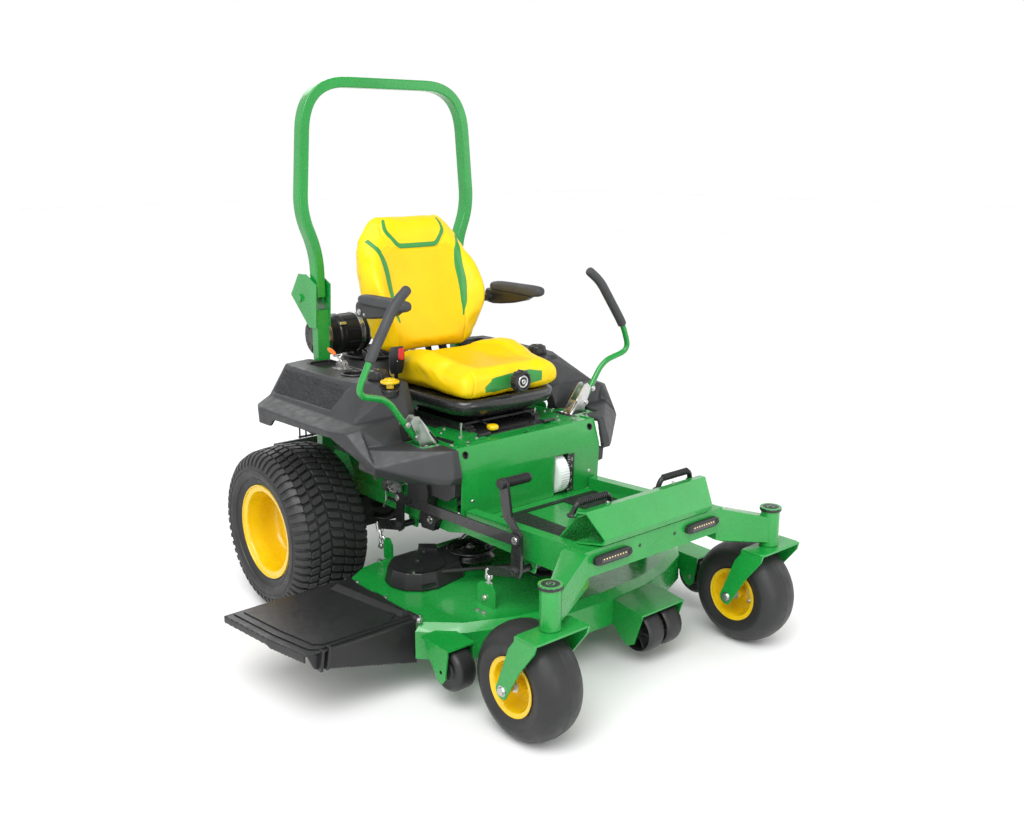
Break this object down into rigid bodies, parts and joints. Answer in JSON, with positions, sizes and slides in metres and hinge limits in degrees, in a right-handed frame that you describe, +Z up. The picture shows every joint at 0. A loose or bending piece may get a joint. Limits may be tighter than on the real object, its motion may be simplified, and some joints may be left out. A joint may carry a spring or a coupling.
{
  "type": "zero turn mower",
  "caption": "Ride-on zero turn mower with steering levers, a sprung seat, a roll bar, swivelling front casters and a side-discharge cutting deck.",
  "frame": {"origin": "middle of the bounding box's footprint, on the ground", "axes": "+Z up, -Y is the machine's front, -X is the operator's right, the side the chute is on"},
  "size_m": [1.718, 2.05, 1.9305],
  "materials": {
    "green_paint": "glossy powder coat",
    "grey_plastic": "fine grain",
    "black_steel": "satin",
    "black_plastic": "satin",
    "engine_metal": "black painted cast metal",
    "yellow_vinyl": "glossy vinyl",
    "grey_foam": "soft foam",
    "yellow_plastic": "gloss",
    "zinc": "zinc plated",
    "white_plastic": "translucent",
    "blade_steel": "dark forged steel",
    "roller_rubber": "matt",
    "rim_yellow": "glossy",
    "tyre_rubber": "matt"
  },
  "bodies": {
    "frame": {"main_frame": "green_paint", "front_beam": "green_paint", "rear_guard": "black_steel", "floor_pan": "green_paint", "footrest": "green_paint", "floor_handle_left": "black_plastic", "floor_handle_right": "black_plastic", "front_panel": "green_paint", "seat_deck": "green_paint", "fender_left": "grey_plastic", "fender_right": "grey_plastic", "rops_post_left": "green_paint", "rops_post_right": "green_paint", "engine": "engine_metal", "air_cleaner": "black_plastic", "transaxle_left": "engine_metal", "transaxle_right": "engine_metal"},
    "rops": {"rops_hoop": "green_paint"},
    "platform": {"seat_platform": "black_steel"},
    "seat_slider": {"seat_base": "black_steel"},
    "seat": {"seat_pan": "black_steel", "seat_cushion": "yellow_vinyl", "seat_back": "yellow_vinyl", "belt_buckle": "black_plastic"},
    "armrest_left": {"armrest_left": "grey_foam"},
    "armrest_right": {"armrest_right": "grey_foam"},
    "suspension_knob": {"suspension_knob": "black_plastic"},
    "slide_lever": {"slide_lever": "yellow_plastic"},
    "pto_knob": {"pto_knob": "yellow_plastic"},
    "throttle_lever": {"throttle_lever": "zinc"},
    "fuel_cap_left": {"fuel_cap_left": "black_plastic"},
    "fuel_cap_right": {"fuel_cap_right": "black_plastic"},
    "height_dial": {"height_dial": "white_plastic"},
    "lift_pedal": {"lift_pedal": "black_steel"},
    "lift_link": {"lift_link": "black_steel"},
    "lift_crank": {"lift_crank": "black_steel"},
    "deck": {"deck_shell": "green_paint", "belt_cover_left": "grey_plastic", "belt_cover_right": "grey_plastic"},
    "chute": {"discharge_chute": "grey_plastic"},
    "blade_left": {"blade_left": "blade_steel"},
    "blade_centre": {"blade_centre": "blade_steel"},
    "blade_right": {"blade_right": "blade_steel"},
    "roller_left": {"roller_left": "roller_rubber"},
    "roller_right": {"roller_right": "roller_rubber"},
    "roller_centre": {"roller_centre": "roller_rubber"},
    "lever_carrier_left": {"lever_carrier_left": "zinc"},
    "control_lever_left": {"control_lever_left": "green_paint"},
    "rear_wheel_left": {"rear_rim_left": "rim_yellow", "rear_tyre_left": "tyre_rubber"},
    "caster_fork_left": {"caster_fork_left": "green_paint"},
    "caster_wheel_left": {"caster_rim_left": "rim_yellow", "caster_tyre_left": "tyre_rubber"},
    "lever_carrier_right": {"lever_carrier_right": "zinc"},
    "control_lever_right": {"control_lever_right": "green_paint"},
    "rear_wheel_right": {"rear_rim_right": "rim_yellow", "rear_tyre_right": "tyre_rubber"},
    "caster_fork_right": {"caster_fork_right": "green_paint"},
    "caster_wheel_right": {"caster_rim_right": "rim_yellow", "caster_tyre_right": "tyre_rubber"}
  },
  "joints": [
    {"name": "rear_wheel_spin_left", "type": "hinge", "parent": "frame", "child": "rear_wheel_left", "pos_m": [0.71, 0.446, 0.305], "axis": [1, 0, 0], "continuous": true},
    {"name": "caster_swivel_left", "type": "hinge", "parent": "frame", "child": "caster_fork_left", "pos_m": [0.689, -0.934, 0.42], "axis": [0, 0, 1], "continuous": true},
    {"name": "caster_wheel_spin_left", "type": "hinge", "parent": "caster_fork_left", "child": "caster_wheel_left", "pos_m": [0.689, -0.847, 0.178], "axis": [1, 0, 0], "continuous": true},
    {"name": "lever_drive_left", "type": "hinge", "parent": "frame", "child": "lever_carrier_left", "pos_m": [0.536, -0.143, 0.675], "axis": [1, 0, 0], "range_deg": [-10, 14]},
    {"name": "lever_park_left", "type": "hinge", "parent": "lever_carrier_left", "child": "control_lever_left", "pos_m": [0.548, -0.143, 0.706], "axis": [0, -1, 0], "range_deg": [0, 22]},
    {"name": "armrest_fold_left", "type": "hinge", "parent": "seat", "child": "armrest_left", "pos_m": [0.465, 0.28, 1.104], "axis": [-1, 0, 0], "range_deg": [0, 100]},
    {"name": "fuel_cap_turn_left", "type": "hinge", "parent": "frame", "child": "fuel_cap_left", "pos_m": [0.556, 0.094, 0.912], "axis": [0, 0, 1], "continuous": true},
    {"name": "rear_wheel_spin_right", "type": "hinge", "parent": "frame", "child": "rear_wheel_right", "pos_m": [-0.338, 0.446, 0.305], "axis": [1, 0, 0], "continuous": true},
    {"name": "caster_swivel_right", "type": "hinge", "parent": "frame", "child": "caster_fork_right", "pos_m": [-0.317, -0.934, 0.42], "axis": [0, 0, 1], "continuous": true},
    {"name": "caster_wheel_spin_right", "type": "hinge", "parent": "caster_fork_right", "child": "caster_wheel_right", "pos_m": [-0.317, -0.847, 0.178], "axis": [1, 0, 0], "continuous": true},
    {"name": "lever_drive_right", "type": "hinge", "parent": "frame", "child": "lever_carrier_right", "pos_m": [-0.164, -0.143, 0.675], "axis": [1, 0, 0], "range_deg": [-10, 14]},
    {"name": "lever_park_right", "type": "hinge", "parent": "lever_carrier_right", "child": "control_lever_right", "pos_m": [-0.176, -0.143, 0.706], "axis": [0, 1, 0], "range_deg": [0, 22]},
    {"name": "armrest_fold_right", "type": "hinge", "parent": "seat", "child": "armrest_right", "pos_m": [-0.093, 0.28, 1.104], "axis": [-1, 0, 0], "range_deg": [0, 100]},
    {"name": "fuel_cap_turn_right", "type": "hinge", "parent": "frame", "child": "fuel_cap_right", "pos_m": [-0.184, 0.094, 0.912], "axis": [0, 0, 1], "continuous": true},
    {"name": "rops_fold", "type": "hinge", "parent": "frame", "child": "rops", "pos_m": [0.186, 0.624, 1.122], "axis": [-1, 0, 0], "range_deg": [0, 110]},
    {"name": "seat_tilt", "type": "hinge", "parent": "frame", "child": "platform", "pos_m": [0.186, -0.214, 0.7214], "axis": [1, 0, 0], "range_deg": [0, 35]},
    {"name": "seat_slide", "type": "slide", "parent": "platform", "child": "seat_slider", "axis": [0, 1, 0], "range_m": [-0.06, 0.06]},
    {"name": "seat_suspension", "type": "slide", "parent": "seat_slider", "child": "seat", "axis": [0, 0, 1], "range_m": [-0.015, 0.015], "stiffness_N_per_m": 30000},
    {"name": "suspension_knob_turn", "type": "hinge", "parent": "seat", "child": "suspension_knob", "pos_m": [0.186, -0.204, 0.89], "axis": [0, 1, 0], "continuous": true},
    {"name": "slide_lever_swing", "type": "hinge", "parent": "seat_slider", "child": "slide_lever", "pos_m": [0.082, -0.106, 0.745], "axis": [0, 0, 1], "range_deg": [0, 12]},
    {"name": "pto_knob_pull", "type": "slide", "parent": "frame", "child": "pto_knob", "axis": [0, 0, 1], "range_m": [0, 0.02]},
    {"name": "throttle_swing", "type": "hinge", "parent": "frame", "child": "throttle_lever", "pos_m": [-0.182, 0.328, 0.915], "axis": [1, 0, 0], "range_deg": [0, 40]},
    {"name": "height_dial_turn", "type": "hinge", "parent": "frame", "child": "height_dial", "pos_m": [0.316, -0.254, 0.5415], "axis": [1, 0, 0], "range_deg": [-150, 150]},
    {"name": "deck_lift", "type": "slide", "parent": "frame", "child": "deck", "axis": [0, 0, 1], "range_m": [0, 0.055]},
    {"name": "lift_pedal_swing", "type": "hinge", "parent": "frame", "child": "lift_pedal", "pos_m": [0.186, -0.607, 0.395], "axis": [1, 0, 0], "range_deg": [0, 25.5]},
    {"name": "lift_link_travel", "type": "slide", "parent": "frame", "child": "lift_link", "axis": [0, -0.9575, -0.2884], "range_m": [0, 0.047]},
    {"name": "lift_crank_swing", "type": "hinge", "parent": "frame", "child": "lift_crank", "pos_m": [0.186, 0.021, 0.376], "axis": [1, 0, 0], "range_deg": [0, 25.5]},
    {"name": "chute_fold", "type": "hinge", "parent": "deck", "child": "chute", "pos_m": [-0.412, -0.214, 0.25], "axis": [0, 1, 0], "range_deg": [0, 65]},
    {"name": "blade_spin_centre", "type": "hinge", "parent": "deck", "child": "blade_centre", "pos_m": [0.186, -0.359, 0.2], "axis": [0, 0, 1], "continuous": true},
    {"name": "blade_spin_left", "type": "hinge", "parent": "deck", "child": "blade_left", "pos_m": [0.581, -0.154, 0.2], "axis": [0, 0, 1], "continuous": true},
    {"name": "blade_spin_right", "type": "hinge", "parent": "deck", "child": "blade_right", "pos_m": [-0.209, -0.154, 0.2], "axis": [0, 0, 1], "continuous": true},
    {"name": "roller_spin_left", "type": "hinge", "parent": "deck", "child": "roller_left", "pos_m": [0.758, -0.584, 0.138], "axis": [1, 0, 0], "continuous": true},
    {"name": "roller_spin_right", "type": "hinge", "parent": "deck", "child": "roller_right", "pos_m": [-0.386, -0.584, 0.138], "axis": [1, 0, 0], "continuous": true},
    {"name": "roller_spin_centre", "type": "hinge", "parent": "deck", "child": "roller_centre", "pos_m": [0.323, -0.744, 0.116], "axis": [1, 0, 0], "continuous": true}
  ],
  "couplings": [
    {"joint": "lift_pedal_swing", "follows": "deck_lift", "rad_per_m": 7.93},
    {"joint": "lift_crank_swing", "follows": "deck_lift", "rad_per_m": 7.93},
    {"joint": "lift_link_travel", "follows": "deck_lift", "ratio": 0.8443},
    {"joint": "blade_spin_left", "follows": "blade_spin_centre", "ratio": 1},
    {"joint": "blade_spin_right", "follows": "blade_spin_centre", "ratio": 1}
  ]
}
